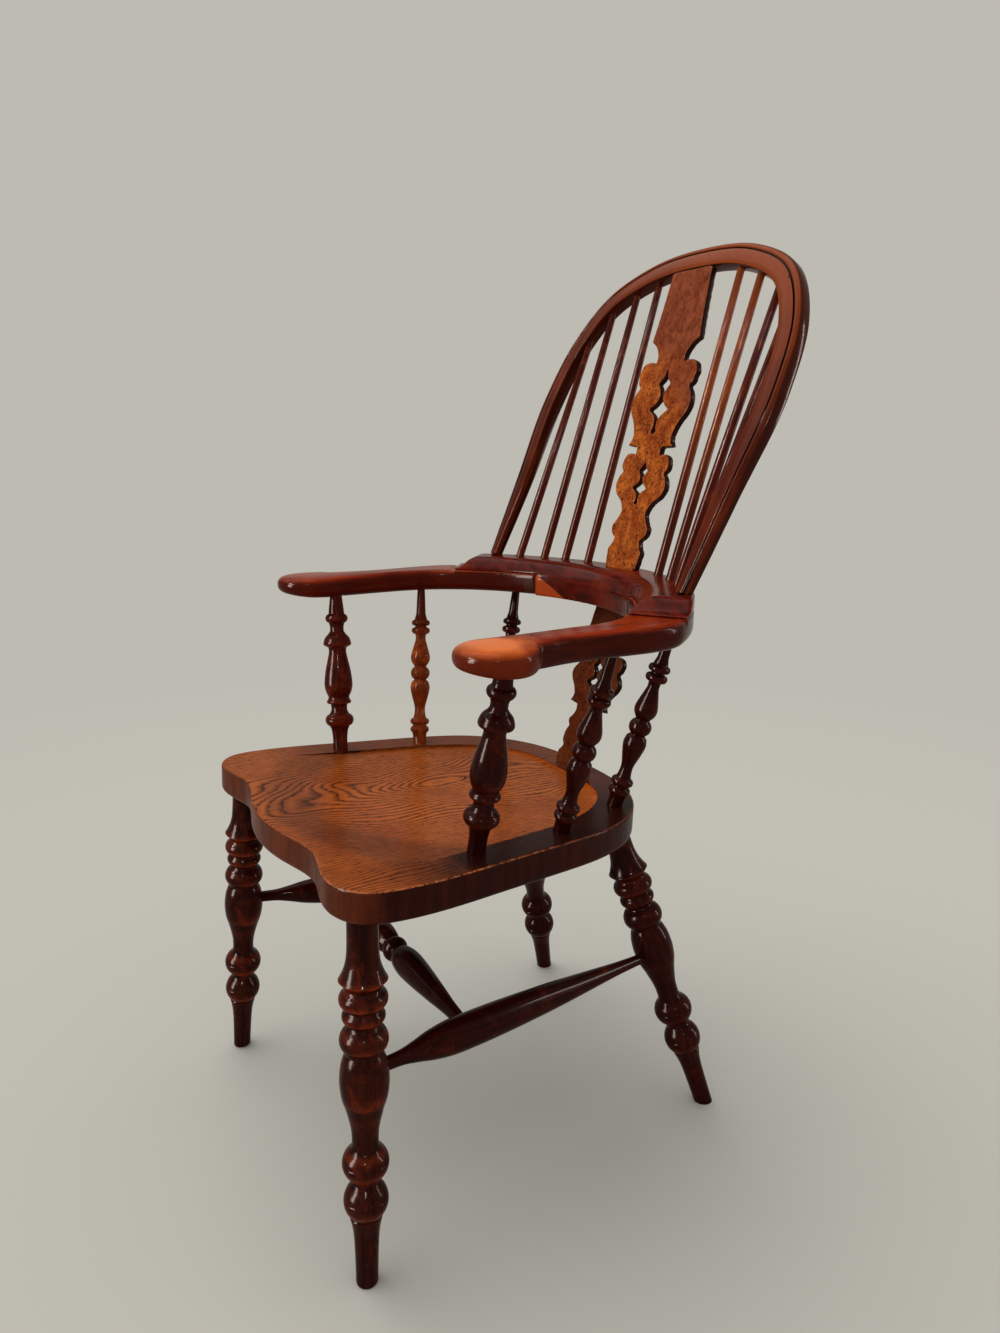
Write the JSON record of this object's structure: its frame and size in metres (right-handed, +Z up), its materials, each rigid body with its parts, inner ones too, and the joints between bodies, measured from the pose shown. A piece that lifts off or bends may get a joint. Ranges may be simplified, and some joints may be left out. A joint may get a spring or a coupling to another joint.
{
  "type": "windsor armchair",
  "caption": "High-backed windsor armchair with a hooped stick back, pierced splats, turned arm posts, a saddled seat and turned legs joined by stretchers.",
  "frame": {"origin": "on the floor, under the middle of the chair's overall box", "axes": "+Z up, -Y the way the sitter faces, +X the sitter's left"},
  "size_m": [0.62, 0.653, 1.1288],
  "materials": {
    "seat_wood": "elm, wax polished, warm brown with dark grain",
    "bow_wood": "glossy polished red brown",
    "turned_wood": "dark stained and polished turnings, worn reddish on the rings",
    "stick_wood": "polished red brown",
    "splat_wood": "polished figured wood with dark specks",
    "screw_steel": "plain wood screws, hidden from the front"
  },
  "bodies": {
    "root": {"seat": "seat_wood", "crest": "bow_wood", "hoop": "bow_wood", "upper_splat": "splat_wood", "lower_splat": "splat_wood", "cross_stretcher": "turned_wood", "crest_screws": "screw_steel", "front_left_leg": "turned_wood", "rear_left_leg": "turned_wood", "left_stretcher": "turned_wood", "left_arm": "bow_wood", "front_left_post": "turned_wood", "middle_left_post": "turned_wood", "rear_left_post": "turned_wood", "left_stick_1": "stick_wood", "left_stick_2": "stick_wood", "left_stick_3": "stick_wood", "left_stick_4": "stick_wood", "front_right_leg": "turned_wood", "rear_right_leg": "turned_wood", "right_stretcher": "turned_wood", "right_arm": "bow_wood", "front_right_post": "turned_wood", "middle_right_post": "turned_wood", "rear_right_post": "turned_wood", "right_stick_1": "stick_wood", "right_stick_2": "stick_wood", "right_stick_3": "stick_wood", "right_stick_4": "stick_wood"}
  },
  "joints": []
}
